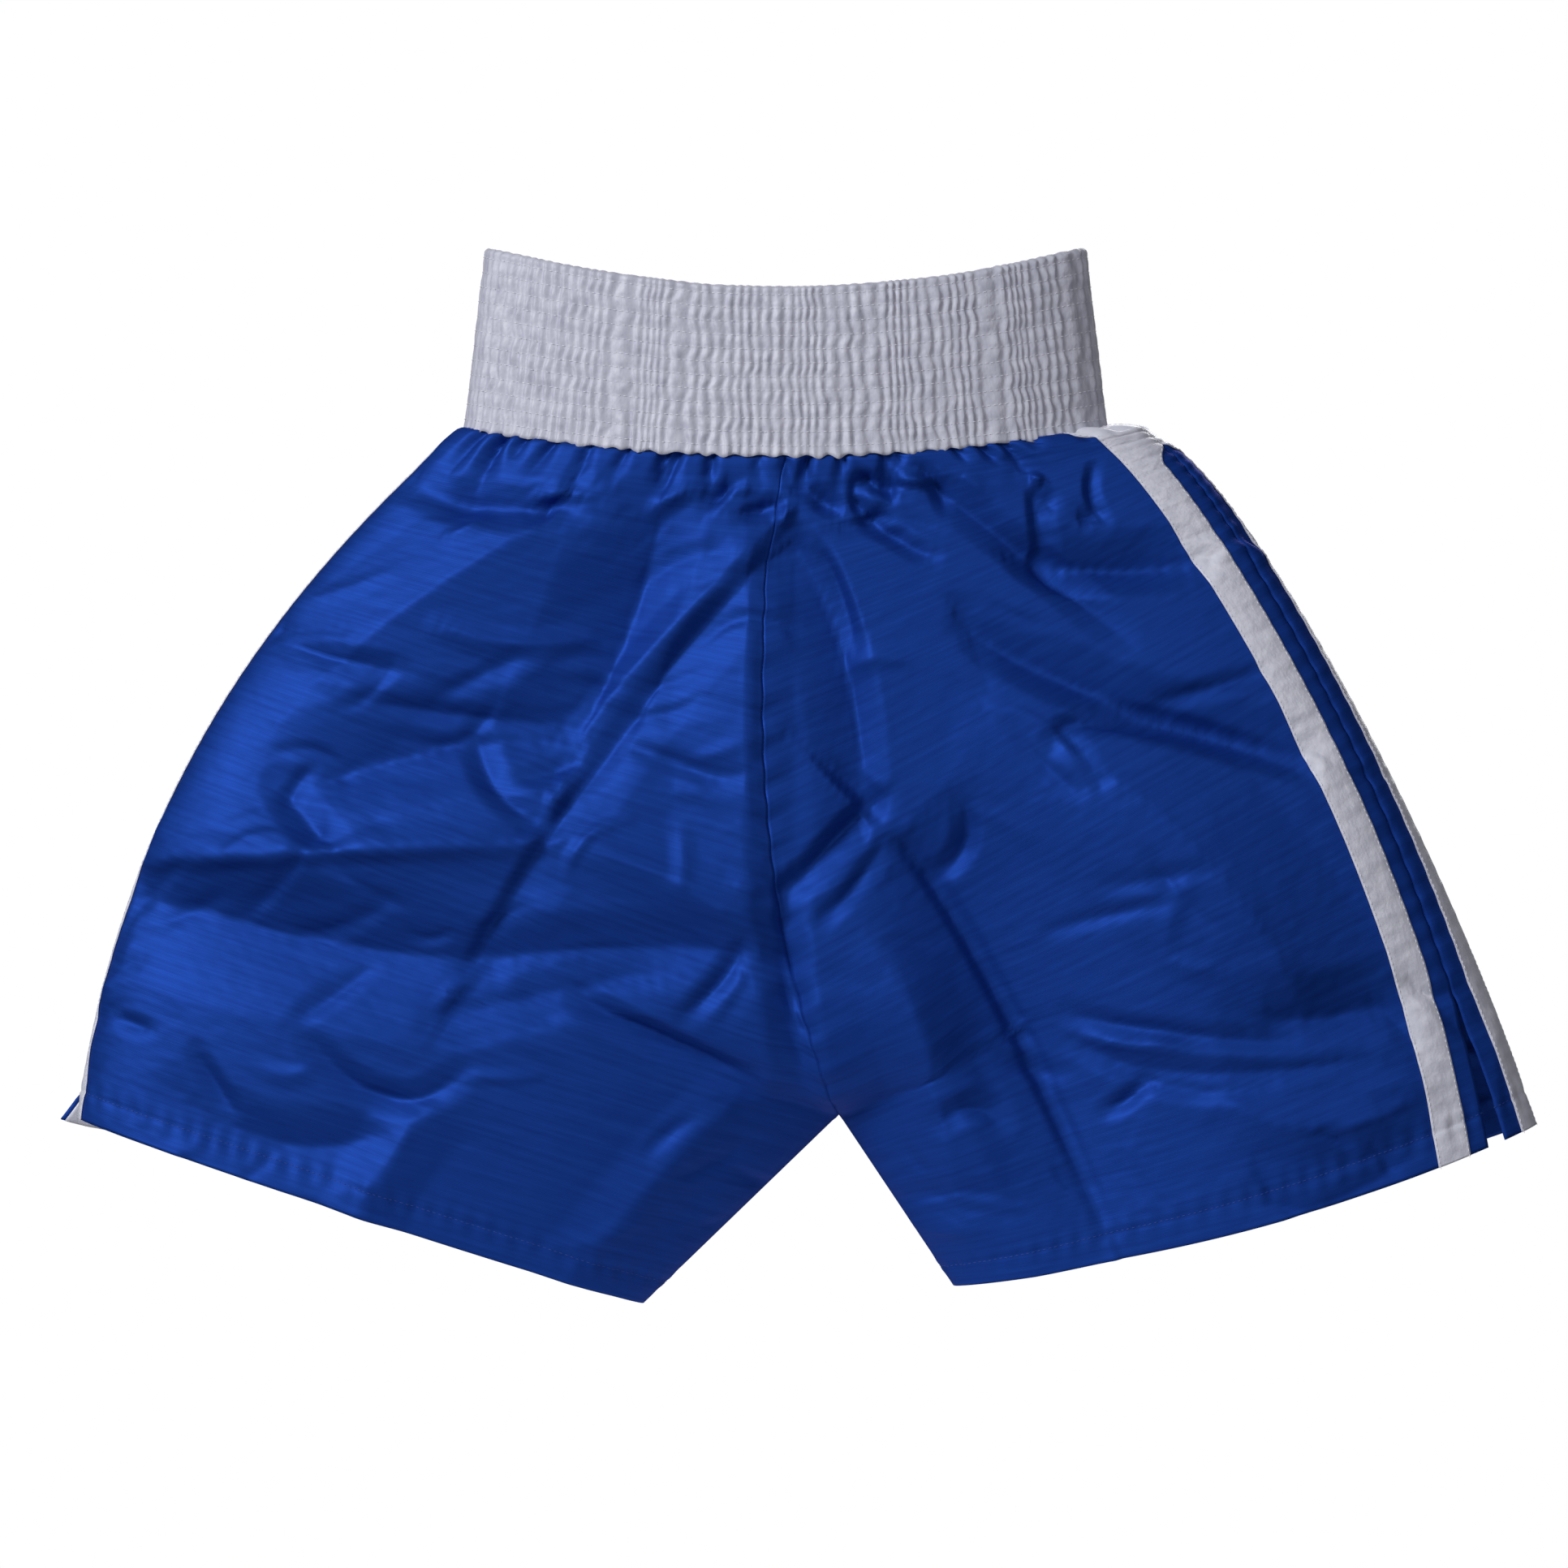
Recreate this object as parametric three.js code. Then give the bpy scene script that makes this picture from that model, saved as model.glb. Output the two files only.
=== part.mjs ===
// Boxing shorts: loose satin trunks with a wide elastic waistband, striped sides and open side vents.
// They hang by the waistband and stand a little open from front to back, as they do when put on.
//
// Millimetres. +Z points up to the waist, -Y is the front and +X is the wearer's left.
// The origin is the middle of the waistband, halfway up it.

import * as THREE from 'three';

const { clamp, lerp, smoothstep } = THREE.MathUtils;

// Waistband: an oval loop, a little narrower at its top edge. Both of its edges sag in the middle.
const BAND_HEIGHT = 93;
const BAND_HALF_WIDTH_TOP = 164.5;
const BAND_HALF_WIDTH_BOTTOM = 176;
const BAND_HALF_DEPTH_TOP = 42;
const BAND_HALF_DEPTH_BOTTOM = 45;
const BAND_SAG_TOP = 24;
const BAND_SAG_BOTTOM = 17;
const BAND_STEPS = 24; // steps round half of the loop

// Body: the sizes that the outlines of the legs are fractions of.
const BODY_LENGTH = 468; // the waist seam's middle to the lowest corner of a hem
const HEM_REACH = 402; // the middle of the shorts to the outer corner of a hem
const HEM_HALF_DEPTH = 50;
const HIP_FULLNESS = 12; // how much deeper than its ends each half of the body is half way down
const OUTSEAM_LENGTH = 1.155 * BODY_LENGTH; // along the cloth of a side seam, which slants outwards

// Cloth and seams.
const CLOTH = 1; // one layer of satin with its fine crumple
const SEAM_GAP = 0.3;
const TUCK = 8; // how far the body's top edge reaches up inside the waistband
const SEAM_DROP = 1; // the body turns outwards this far below the waistband's cover
const HEM_DEPTH = 20;
const HEM_THICKNESS = 2 * CLOTH + 0.2;

// Waistband layers, outwards from the middle of the band.
const ELASTIC_THICKNESS = 2;
const COVER_THICKNESS = 1.2;
const COVER_INSIDE = ELASTIC_THICKNESS / 2 + SEAM_GAP;
const COVER_OUTSIDE = COVER_INSIDE + COVER_THICKNESS;
const ELASTIC_BOTTOM = TUCK + 2;
const ELASTIC_TOP = BAND_HEIGHT - COVER_OUTSIDE;

// Side stripes, vents and the facings inside the vents' edges.
const STRIPE_FROM_SEAM = 12;
const STRIPE_WIDTH = 20;
const STRIPE_THICKNESS = 0.6;
const FACING_INSET = 1.5; // from the vent's edge to the facing's
const FACING_THICKNESS = 0.6;
const VENT_HEIGHT = 85;
const VENT_SPREAD = 12; // how far apart the vent's edges are at the hem
const SEAM_SLANT = 1.3; // the power by which the side seams turn off the side edge towards the hem
const FLARE_REACH = 75; // how far across the cloth a flared vent corner swings
const FLARE_CURL = 1.5; // the power by which the swing grows down the vent
const FLARE_LIFT = 0.15; // how much of its swing the corner also rises

// Levels run from 0 at the waist seam to 1 at the hem. A level under 0 is inside the waistband.
const BULGE_END = 0.025;
const LEG_START = 0.18; // the halves start to round into legs
const RISE_START = 0.565; // the middle seam starts to curve in between the legs
const CROTCH = 0.71;
const VENT_TOP = 1 - VENT_HEIGHT / OUTSEAM_LENGTH;
const HEM_FOLD = 1 - HEM_DEPTH / OUTSEAM_LENGTH;
const HEM_STEP = 0.002; // the drop in which the cloth thickens into the hem
const HEM_EDGE = HEM_FOLD + HEM_STEP;
const SEAM_Z = -BAND_HEIGHT / 2 - SEAM_DROP;

/** A point of the front view: fractions of the reach sideways and of the body's length down. */
function outline(across, down) {
  return new THREE.Vector2(across * HEM_REACH, SEAM_Z - down * BODY_LENGTH);
}

/** A side edge in the front view, from the waistband's lower corner to the outer corner of the hem. */
function outseam(bulge, shoulder, thigh, hem) {
  const sign = Math.sign(hem.x);
  const corner = new THREE.Vector2(sign * (BAND_HALF_WIDTH_BOTTOM + bulge), SEAM_Z + BAND_SAG_BOTTOM);
  return new THREE.CubicBezierCurve(corner, shoulder, thigh, hem);
}

// The two legs differ, because the shorts hang turned a little towards the wearer's right.
const SIDES = [
  {
    name: 'left',
    sign: 1,
    edge: outseam(20, outline(0.591, -0.035), outline(0.88, 0.401), outline(1.03, 0.786)),
    innerHem: outline(0.229, 0.977),
    hemBulge: 11,
    seamForward: { waist: 8, hem: 38 },
    flare: 0,
  },
  {
    name: 'right',
    sign: -1,
    edge: outseam(4, outline(-0.759, 0.202), outline(-0.919, 0.451), outline(-0.972, 0.779)),
    innerHem: outline(-0.194, 0.998),
    hemBulge: 0,
    seamForward: { waist: -32, hem: -29 },
    flare: 34,
  },
];

const CROTCH_POINT = outline(0.073, 0.776);
const MIDDLE_SEAM = new THREE.CubicBezierCurve(
  outline(0, 0),
  outline(-0.062, 0.263),
  outline(-0.025, 0.605),
  CROTCH_POINT,
);

/** A point of the waistband: the angle from the front middle, the height above its lower edge, and outwards. */
function bandPoint(angle, height, outwards) {
  const up = height / BAND_HEIGHT;
  const halfWidth = lerp(BAND_HALF_WIDTH_BOTTOM, BAND_HALF_WIDTH_TOP, up) + outwards;
  const halfDepth = lerp(BAND_HALF_DEPTH_BOTTOM, BAND_HALF_DEPTH_TOP, up) + outwards;
  const sag = lerp(BAND_SAG_BOTTOM, BAND_SAG_TOP, up);
  const z = height - BAND_HEIGHT / 2 + sag * Math.sin(angle) ** 2;
  return new THREE.Vector3(halfWidth * Math.sin(angle), -halfDepth * Math.cos(angle), z);
}

/** The inner end of a level in the front view: down the middle seam, then down the leg's inseam. */
function innerEnd(side, level) {
  const point = level < CROTCH
    ? MIDDLE_SEAM.getPoint(Math.max(level, 0) / CROTCH)
    : CROTCH_POINT.clone().lerp(side.innerHem, (level - CROTCH) / (1 - CROTCH));
  point.x += (side.sign * SEAM_GAP) / 2;
  return point;
}

/** A point of the body's outer face. Above the crotch a level is half an oval, below it a closed leg. */
function bodyPoint(side, level, angle) {
  const legShare = smoothstep(level, LEG_START, CROTCH);
  const turn = clamp((level - RISE_START) / (CROTCH - RISE_START), 0, 1);
  const across = Math.max(Math.sin(angle), 0) ** (1 + legShare);
  const peak = Math.max(legShare / 2, 1e-6);
  const fromPeak = across > peak ? (across - peak) / (1 - peak) : (turn * (peak - across)) / peak;
  const straightDepth = lerp(BAND_HALF_DEPTH_BOTTOM, HEM_HALF_DEPTH, level);
  const fullDepth = straightDepth + HIP_FULLNESS * Math.sin(Math.PI * level);
  const depth = fullDepth * Math.sqrt(Math.max(1 - fromPeak ** 2, 0));
  const flat = innerEnd(side, level).lerp(side.edge.getPoint(level), across);
  const middling = across * (1 - across);
  const waistSag = BAND_SAG_BOTTOM * middling * (1 - level) ** 2;
  const hemBulge = 4 * side.hemBulge * middling * level ** 4;
  return new THREE.Vector3(flat.x, -Math.sign(Math.cos(angle)) * depth, flat.y - waistSag - hemBulge);
}

const LOOP_DIVISIONS = 240;

/** Half of the cloth's loop at one level: the front middle, round the side edge, to the back middle. */
class HalfLoop extends THREE.Curve {
  constructor(side, level) {
    super();
    this.side = side;
    this.level = level;
    this.arcLengthDivisions = LOOP_DIVISIONS;
    const lengths = this.getLengths();
    this.total = lengths.at(-1);
    this.sideEdge = lengths[LOOP_DIVISIONS / 2];
  }

  getPoint(share) {
    const angle = share * Math.PI;
    const height = -this.level * BAND_HEIGHT - SEAM_DROP;
    const band = bandPoint(this.side.sign * angle, Math.max(height, -SEAM_DROP), CLOTH / 2);
    if (this.level <= 0) {
      return band;
    }
    const body = bodyPoint(this.side, this.level, angle);
    return band.lerp(body, smoothstep(this.level, 0, BULGE_END));
  }
}

const loops = new Map();

function halfLoop(side, level) {
  const key = `${side.name} ${level.toFixed(6)}`;
  if (!loops.has(key)) {
    loops.set(key, new HalfLoop(side, level));
  }
  return loops.get(key);
}

/** How far open the vent is at a level: 0 at its top and above, 1 at the hem. */
function ventShare(level) {
  return clamp((level - VENT_TOP) / (1 - VENT_TOP), 0, 1);
}

/** The distances from the front middle at which a panel starts and ends at a level. */
function panelEnds(side, face, level) {
  const loop = halfLoop(side, level);
  const { waist, hem } = side.seamForward;
  const seam = loop.sideEdge - lerp(waist, hem, clamp(level, 0, 1) ** SEAM_SLANT);
  const halfOpen = (SEAM_GAP + VENT_SPREAD * ventShare(level)) / 2;
  return face === 'front'
    ? [SEAM_GAP / 2, seam - halfOpen]
    : [seam + halfOpen, loop.total - SEAM_GAP / 2];
}

// A panel's columns are close together at its side seam, where the stripe and the facing lie on them.
const EDGE_COLUMNS = [
  0,
  FACING_INSET,
  STRIPE_FROM_SEAM / 2,
  ...[0, 0.25, 0.5, 0.75, 1, 1.4, 1.9, 2.6].map((share) => STRIPE_FROM_SEAM + share * STRIPE_WIDTH),
];
const INNER_COLUMNS = 7;
const COLUMNS = EDGE_COLUMNS.length - 1 + INNER_COLUMNS;
const STRIPE_COLUMNS = [3, 7]; // the stripe's two edges
const FACING_COLUMNS = [1, 5]; // the facing's inset, and the line behind the middle of the stripe

/** How far a column is from the panel's side edge at a level. */
function columnDistance(column, width) {
  const last = EDGE_COLUMNS.length - 1;
  if (column <= last) {
    return EDGE_COLUMNS[column];
  }
  return lerp(EDGE_COLUMNS[last], width, (column - last) / INNER_COLUMNS);
}

/** A point of a panel's outer face: the level, and the distance from the panel's side edge. */
function panelPoint(side, face, level, distance) {
  const [start, end] = panelEnds(side, face, level);
  const along = face === 'front' ? end - distance : start + distance;
  const loop = halfLoop(side, level);
  const point = loop.getPointAt(clamp(along / loop.total, 0, 1));
  if (face === 'back' && side.flare > 0) {
    const swing = side.flare * ventShare(level) ** FLARE_CURL * (1 - smoothstep(distance, 0, FLARE_REACH));
    point.x += side.sign * swing;
    point.z += FLARE_LIFT * swing;
  }
  return point;
}

const SLOPE_STEP = 0.5; // millimetres across
const SLOPE_DROP = 0.002; // in levels

/** The outward normal of a panel, from its slopes across and down. */
function panelNormal(side, face, level, distance) {
  const [start, end] = panelEnds(side, face, level);
  const near = Math.max(distance - SLOPE_STEP, 0);
  const far = Math.min(distance + SLOPE_STEP, end - start);
  const top = level - SLOPE_DROP;
  const bottom = Math.min(level + SLOPE_DROP, 1);
  const across = panelPoint(side, face, level, far).sub(panelPoint(side, face, level, near));
  const down = panelPoint(side, face, bottom, distance).sub(panelPoint(side, face, top, distance));
  const flip = face === 'front' ? side.sign : -side.sign;
  return across.cross(down).multiplyScalar(flip).normalize();
}

/** The rows between the named levels, from inside the waistband down to the hem. */
function rowLevels() {
  const tuckTop = -(TUCK + SEAM_DROP) / BAND_HEIGHT;
  const stretches = [
    [tuckTop, 0, 1],
    [0, BULGE_END, 2],
    [BULGE_END, RISE_START, 6],
    [RISE_START, CROTCH, 4],
    [CROTCH, VENT_TOP, 2],
    [VENT_TOP, HEM_FOLD, 3],
    [HEM_FOLD, HEM_EDGE, 1],
    [HEM_EDGE, 1, 1],
  ];
  const levels = [tuckTop];
  for (const [from, to, count] of stretches) {
    for (let step = 1; step <= count; step += 1) {
      levels.push(lerp(from, to, step / count));
    }
  }
  return levels;
}

const ROWS = rowLevels();
const ROUNDING = 1e-9;

/** The first row at or below a level. */
function rowAt(level) {
  return ROWS.findIndex((row) => row > level - ROUNDING);
}

function panelThickness(level) {
  return level >= HEM_EDGE ? HEM_THICKNESS : CLOTH;
}

/**
 * A closed sheet that follows a panel between two columns and two rows.
 * The layer function gives how far outside the panel's outer face the sheet's inner and outer faces are.
 */
function sheet(side, face, columns, rows, layer) {
  const across = columns[1] - columns[0];
  const down = rows[1] - rows[0];
  const geometry = new THREE.BoxGeometry(1, 1, 1, across, down, 1);
  const positions = geometry.attributes.position;
  const towardsSeam = (face === 'front') === (side.sign > 0);
  for (let index = 0; index < positions.count; index += 1) {
    const step = Math.round((positions.getX(index) + 0.5) * across);
    const column = towardsSeam ? columns[1] - step : columns[0] + step;
    const level = ROWS[rows[0] + Math.round((0.5 - positions.getY(index)) * down)];
    const [start, end] = panelEnds(side, face, level);
    const distance = columnDistance(column, end - start);
    const normal = panelNormal(side, face, level, distance);
    const offset = layer(level)[positions.getZ(index) > 0 ? 1 : 0];
    const point = panelPoint(side, face, level, distance).addScaledVector(normal, offset);
    positions.setXYZ(index, point.x, point.y, point.z);
  }
  return geometry;
}

/** Moves the points of a straight piece onto the waistband. */
function wrapRoundBand(geometry, place) {
  const positions = geometry.attributes.position;
  const point = new THREE.Vector3();
  for (let index = 0; index < positions.count; index += 1) {
    point.fromBufferAttribute(positions, index);
    positions.setXYZ(index, ...place(point));
  }
  return geometry;
}

/** Half of the waistband's cover: one strip of satin folded over the top of the elastic. */
function bandCover(endAngle) {
  const fold = BAND_HEIGHT - COVER_OUTSIDE;
  const section = new THREE.Shape();
  section.moveTo(COVER_INSIDE, 0);
  section.lineTo(COVER_OUTSIDE, 0);
  section.lineTo(COVER_OUTSIDE, fold);
  section.absarc(0, fold, COVER_OUTSIDE, 0, Math.PI, false);
  section.lineTo(-COVER_OUTSIDE, 0);
  section.lineTo(-COVER_INSIDE, 0);
  section.lineTo(-COVER_INSIDE, fold);
  section.absarc(0, fold, COVER_INSIDE, Math.PI, 0, true);
  section.closePath();
  const straight = new THREE.ExtrudeGeometry(section, {
    depth: 1,
    steps: BAND_STEPS,
    curveSegments: 4,
    bevelEnabled: false,
  });
  const endGap = SEAM_GAP / 2 / BAND_HALF_DEPTH_TOP;
  const angleAt = (share) => endAngle - lerp(endGap, Math.PI - endGap, share);
  return wrapRoundBand(straight, ({ x, y, z }) => bandPoint(angleAt(z), y, x));
}

/** The elastic: one closed loop inside the cover. */
function bandElastic() {
  const radius = ELASTIC_THICKNESS; // of the straight ring, which the wrapping takes off again
  const half = ELASTIC_THICKNESS / 2;
  const profile = [
    new THREE.Vector2(radius - half, ELASTIC_BOTTOM),
    new THREE.Vector2(radius + half, ELASTIC_BOTTOM),
    new THREE.Vector2(radius + half, ELASTIC_TOP),
    new THREE.Vector2(radius - half, ELASTIC_TOP),
    new THREE.Vector2(radius - half, ELASTIC_BOTTOM),
  ];
  const ring = new THREE.LatheGeometry(profile, 2 * BAND_STEPS);
  return wrapRoundBand(ring, ({ x, y, z }) => bandPoint(Math.atan2(x, z), y, Math.hypot(x, z) - radius));
}

function blueSatin() {
  return new THREE.MeshStandardMaterial({ color: 0x1b4496, roughness: 0.42, metalness: 0 });
}

function silverSatin() {
  return new THREE.MeshStandardMaterial({ color: 0xc9cad6, roughness: 0.4, metalness: 0 });
}

function whiteTape() {
  return new THREE.MeshStandardMaterial({ color: 0xe4e2ec, roughness: 0.45, metalness: 0 });
}

function knittedElastic() {
  return new THREE.MeshStandardMaterial({ color: 0xe8e6e0, roughness: 0.9, metalness: 0 });
}

function mesh(name, geometry, material) {
  const made = new THREE.Mesh(geometry, material);
  made.name = name;
  return made;
}

/** The pieces along one panel: the panel itself, its side stripe and the facing of its vent edge. */
function panelPieces(side, face) {
  const lastRow = ROWS.length - 1;
  const stripeRows = [rowAt(0), lastRow];
  const facingRows = [rowAt(VENT_TOP), lastRow];
  const panel = sheet(side, face, [0, COLUMNS], [0, lastRow], (level) => [-panelThickness(level), 0]);
  const stripe = sheet(side, face, STRIPE_COLUMNS, stripeRows, () => [SEAM_GAP, SEAM_GAP + STRIPE_THICKNESS]);
  const facing = sheet(side, face, FACING_COLUMNS, facingRows, (level) => {
    const inner = -panelThickness(level) - SEAM_GAP;
    return [inner - FACING_THICKNESS, inner];
  });
  return [
    mesh(`${face}_${side.name}_panel`, panel, blueSatin()),
    mesh(`${face}_${side.name}_stripe`, stripe, whiteTape()),
    mesh(`${face}_${side.name}_vent_facing`, facing, whiteTape()),
  ];
}

const group = new THREE.Group();
for (const side of SIDES) {
  for (const face of ['front', 'back']) {
    group.add(...panelPieces(side, face));
  }
}
group.add(
  mesh('waistband_cover_front', bandCover(Math.PI / 2), silverSatin()),
  mesh('waistband_cover_back', bandCover((3 * Math.PI) / 2), silverSatin()),
  mesh('waist_elastic', bandElastic(), knittedElastic()),
);

export default group;
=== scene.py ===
import math
from collections import namedtuple

import bpy
import numpy as np
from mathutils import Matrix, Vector


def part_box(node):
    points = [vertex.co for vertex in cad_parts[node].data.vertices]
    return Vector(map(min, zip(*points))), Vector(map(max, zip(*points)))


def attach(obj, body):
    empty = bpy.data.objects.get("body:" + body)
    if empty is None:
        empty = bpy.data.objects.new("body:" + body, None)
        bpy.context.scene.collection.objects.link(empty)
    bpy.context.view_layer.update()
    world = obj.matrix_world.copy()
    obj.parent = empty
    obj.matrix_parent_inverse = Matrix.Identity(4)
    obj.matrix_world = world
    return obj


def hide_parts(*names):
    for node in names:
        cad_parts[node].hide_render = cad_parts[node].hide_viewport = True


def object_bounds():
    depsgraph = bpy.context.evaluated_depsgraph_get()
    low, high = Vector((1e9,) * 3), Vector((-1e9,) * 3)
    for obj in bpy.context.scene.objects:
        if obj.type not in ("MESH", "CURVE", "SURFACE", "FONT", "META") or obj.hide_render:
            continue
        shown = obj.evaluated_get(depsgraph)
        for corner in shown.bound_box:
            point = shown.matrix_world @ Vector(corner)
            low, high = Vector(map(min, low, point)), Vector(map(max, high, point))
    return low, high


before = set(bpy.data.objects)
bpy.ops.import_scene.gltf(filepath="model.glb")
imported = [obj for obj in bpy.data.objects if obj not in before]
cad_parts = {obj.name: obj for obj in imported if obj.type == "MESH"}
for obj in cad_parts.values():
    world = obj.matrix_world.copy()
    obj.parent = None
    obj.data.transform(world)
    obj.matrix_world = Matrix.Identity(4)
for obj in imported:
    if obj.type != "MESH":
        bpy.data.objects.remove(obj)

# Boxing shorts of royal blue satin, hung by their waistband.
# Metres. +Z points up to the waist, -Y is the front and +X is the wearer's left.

CAD_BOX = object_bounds()
MM = 0.001

# ---- sizes

COVER_OUTSIDE = 2.5 * MM  # from the middle of the waistband to the outside of its satin cover
COVER_CLOTH = 0.5 * MM

front_cover_low, front_cover_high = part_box("waistband_cover_front")
BAND_HEIGHT = -2 * front_cover_low.z
BAND_HALF_WIDTH_BOTTOM = front_cover_high.x - COVER_OUTSIDE
BAND_HALF_WIDTH_TOP = 0.9347 * BAND_HALF_WIDTH_BOTTOM
BAND_HALF_DEPTH_BOTTOM = -front_cover_low.y - COVER_OUTSIDE
BAND_HALF_DEPTH_TOP = 0.9333 * BAND_HALF_DEPTH_BOTTOM
BAND_SAG_TOP = front_cover_high.z - BAND_HEIGHT / 2
BAND_SAG_BOTTOM = 17 * MM
# The length round an oval of the lower edge's width and depth.
BAND_LOOP = math.pi * (
    3 * (BAND_HALF_WIDTH_BOTTOM + BAND_HALF_DEPTH_BOTTOM)
    - math.sqrt(
        (3 * BAND_HALF_WIDTH_BOTTOM + BAND_HALF_DEPTH_BOTTOM)
        * (BAND_HALF_WIDTH_BOTTOM + 3 * BAND_HALF_DEPTH_BOTTOM)
    )
)

SEAM_DROP = 1 * MM  # the body turns outwards this far below the waistband
SEAM_Z = -BAND_HEIGHT / 2 - SEAM_DROP
TUCK = 8 * MM  # how far the body's top edge reaches up inside the waistband
LOWEST_HEM = 0.998  # of the body's length
WIDEST_HEM = 1.03  # of the hem's reach
BODY_LENGTH = (SEAM_Z - CAD_BOX[0].z) / LOWEST_HEM
HEM_REACH = CAD_BOX[1].x / WIDEST_HEM
HEM_HALF_DEPTH = 50 * MM
HIP_FULLNESS = 12 * MM
OUTSEAM_LENGTH = 1.155 * BODY_LENGTH

SATIN = 0.45 * MM  # one layer of cloth
HEM_DEPTH = 20 * MM
HEM_THICKNESS = 1.3 * MM
HEM_STITCH = 18 * MM  # from the hem's edge up to its stitches
STRIPE_FROM_SEAM = 12 * MM
STRIPE_WIDTH = 20 * MM
STRIPE_THICKNESS = 0.6 * MM
STRIPE_LIFT = 0.3 * MM  # from the panel to the stripe's under side
FACING_THICKNESS = 0.5 * MM
FACING_LIFT = 0.3 * MM
VENT_HEIGHT = 85 * MM
VENT_SPREAD = 12 * MM
SEAM_SLANT = 1.3
FLARE_REACH = 75 * MM
FLARE_CURL = 1.5
FLARE_LIFT = 0.15
THREAD_LIFT = 0.15 * MM  # from a panel or the waistband to the middle of its stitches
TAPE_THREAD_LIFT = 0.1 * MM

# Levels run from 0 at the waist seam to 1 at the hem. A level under 0 is inside the waistband.
TUCK_TOP = -(TUCK + SEAM_DROP) / BAND_HEIGHT
BULGE_END = 0.025
LEG_START = 0.18
RISE_START = 0.565
CROTCH = 0.71
VENT_TOP = 1 - VENT_HEIGHT / OUTSEAM_LENGTH
HEM_FOLD = 1 - HEM_DEPTH / OUTSEAM_LENGTH
TAPES_MEET = 0.10  # a side whose tapes meet has no gap between them above here,
TAPES_APART = 0.16  # and its full gap from here down

# The outlines of each side are fractions of the hem's reach across and of the body's length down.
Side = namedtuple(
    "Side",
    "name sign bulge shoulder thigh hem inner_hem hem_bulge seam_at_waist seam_at_hem flare tape_gap",
)
SIDES = (
    Side("left", 1, 20 * MM, (0.591, -0.035), (0.88, 0.401), (WIDEST_HEM, 0.786),
         (0.229, 0.977), 11 * MM, 8 * MM, 38 * MM, 0, 0.06),
    Side("right", -1, 4 * MM, (-0.759, 0.202), (-0.919, 0.451), (-0.972, 0.779),
         (-0.194, LOWEST_HEM), 0, -32 * MM, -29 * MM, 34 * MM, 1),
)
CROTCH_POINT = (0.073, 0.776)
MIDDLE_SEAM = ((0, 0), (-0.062, 0.263), (-0.025, 0.605), CROTCH_POINT)


# ---- the cloth's resting surface

def lerp(a, b, share):
    return a + (b - a) * share


def smooth(value, low, high):
    """0 below low, 1 above high and a soft step between."""
    share = np.clip((value - low) / (high - low), 0, 1)
    return share * share * (3 - 2 * share)


def outline(across, down):
    return np.array((across * HEM_REACH, SEAM_Z - down * BODY_LENGTH))


def bezier(corners, share):
    share = np.asarray(share, float)[..., None]
    a, b, c, d = corners
    rest = 1 - share
    return rest**3 * a + 3 * rest**2 * share * b + 3 * rest * share**2 * c + share**3 * d


def band_point(angle, height, outwards):
    """A point of the waistband, by its angle from the front middle and its height above the edge."""
    up = height / BAND_HEIGHT
    half_width = lerp(BAND_HALF_WIDTH_BOTTOM, BAND_HALF_WIDTH_TOP, up) + outwards
    half_depth = lerp(BAND_HALF_DEPTH_BOTTOM, BAND_HALF_DEPTH_TOP, up) + outwards
    sag = lerp(BAND_SAG_BOTTOM, BAND_SAG_TOP, up)
    z = height - BAND_HEIGHT / 2 + sag * np.sin(angle) ** 2
    return np.stack(
        np.broadcast_arrays(half_width * np.sin(angle), -half_depth * np.cos(angle), z), -1
    )


def inner_end(side, level):
    """The middle seam down to the crotch, and the leg's inseam below it."""
    seam = bezier([outline(*p) for p in MIDDLE_SEAM], np.clip(level / CROTCH, 0, 1))
    below = np.clip((level - CROTCH) / (1 - CROTCH), 0, 1)[..., None]
    return np.where(
        (level < CROTCH)[..., None],
        seam,
        lerp(outline(*CROTCH_POINT), outline(*side.inner_hem), below),
    )


def body_point(side, level, angle):
    """Above the crotch a level is half an oval, and below it a closed leg."""
    leg = smooth(level, LEG_START, CROTCH)
    turn = np.clip((level - RISE_START) / (CROTCH - RISE_START), 0, 1)
    across = np.maximum(np.sin(angle), 0) ** (1 + leg)
    peak = np.maximum(leg / 2, 1e-6)
    from_peak = np.where(
        across > peak, (across - peak) / (1 - peak), turn * (peak - across) / peak
    )
    full_depth = lerp(BAND_HALF_DEPTH_BOTTOM, HEM_HALF_DEPTH, level)
    full_depth = full_depth + HIP_FULLNESS * np.sin(math.pi * level)
    depth = full_depth * np.sqrt(np.maximum(1 - from_peak**2, 0))
    waist_corner = np.array(
        (side.sign * (BAND_HALF_WIDTH_BOTTOM + side.bulge), SEAM_Z + BAND_SAG_BOTTOM)
    )
    side_edge = [waist_corner, outline(*side.shoulder), outline(*side.thigh), outline(*side.hem)]
    flat = lerp(inner_end(side, level), bezier(side_edge, level), across[..., None])
    middling = across * (1 - across)
    sag = BAND_SAG_BOTTOM * middling * (1 - level) ** 2 + 4 * side.hem_bulge * middling * level**4
    return np.stack((flat[..., 0], -np.sign(np.cos(angle)) * depth, flat[..., 1] - sag), -1)


def cloth_point(side, level, angle):
    level, angle = np.broadcast_arrays(level, angle)
    height = np.maximum(-level * BAND_HEIGHT - SEAM_DROP, -SEAM_DROP)
    band = band_point(side.sign * angle, height, 0.5 * MM)
    body = body_point(side, np.clip(level, 0, 1), angle)
    return lerp(band, body, smooth(level, 0, BULGE_END)[..., None])


def vent_share(level):
    """How far open a vent is: 0 at its top and above, 1 at the hem."""
    return np.clip((level - VENT_TOP) / (1 - VENT_TOP), 0, 1)


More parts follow.
